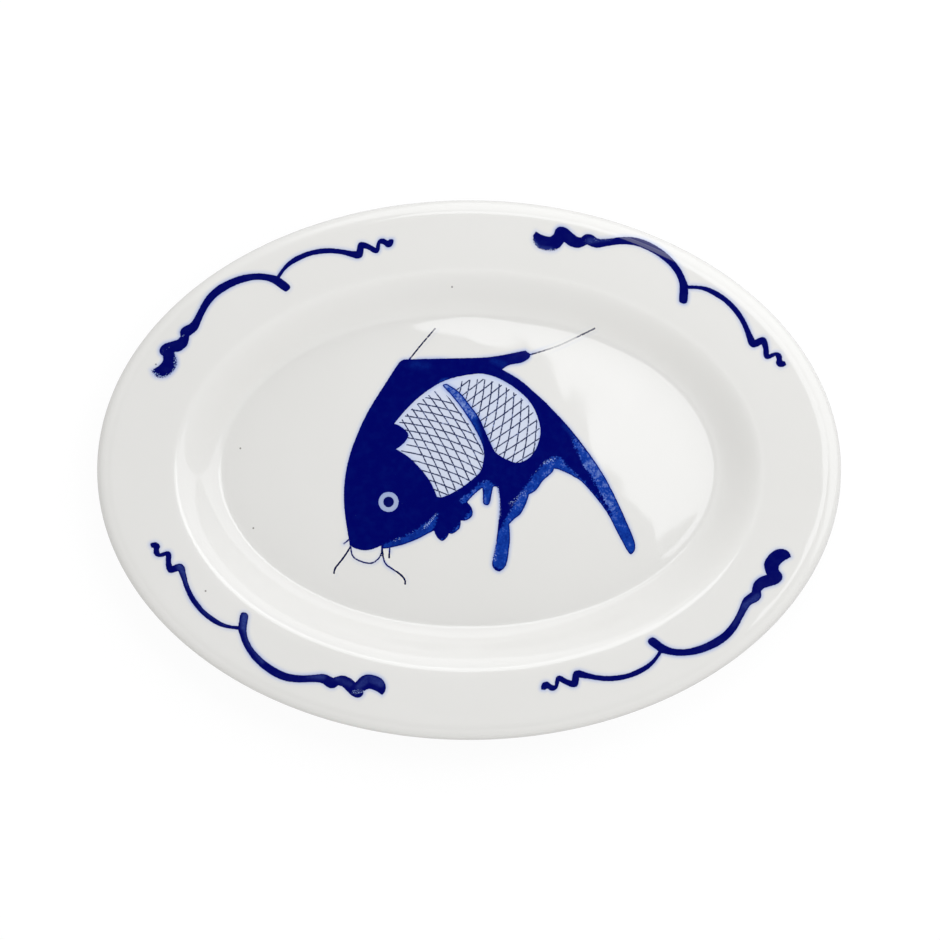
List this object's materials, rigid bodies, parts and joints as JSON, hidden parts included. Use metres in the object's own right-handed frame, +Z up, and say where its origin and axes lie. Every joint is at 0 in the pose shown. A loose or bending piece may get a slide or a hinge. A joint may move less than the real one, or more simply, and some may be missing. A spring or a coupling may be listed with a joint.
{
  "type": "oval plate",
  "caption": "Oval white porcelain serving plate with a raised rim and foot ring, a blue carp in the well and blue cloud scrolls on the rim.",
  "frame": {"origin": "centre of the oval on the plane that the foot ring stands on", "axes": "+X along the plate's length towards the carp's tail, +Y along its width towards the carp's back, +Z up out of the well"},
  "size_m": [0.254, 0.1844, 0.0231],
  "materials": {
    "glazed_porcelain": "clear gloss glaze on warm white porcelain, foot ring wiped bare",
    "cobalt_print": "dark cobalt blue under the gloss glaze, washed to a lighter blue in places"
  },
  "bodies": {
    "root": {"porcelain_body": "glazed_porcelain", "carp_figure": "cobalt_print", "carp_pupil": "cobalt_print", "carp_front_net": "cobalt_print", "carp_rear_net": "cobalt_print", "scroll_front_right": "cobalt_print", "scroll_front_left": "cobalt_print", "scroll_rear_left": "cobalt_print", "scroll_rear_right": "cobalt_print"}
  },
  "joints": []
}
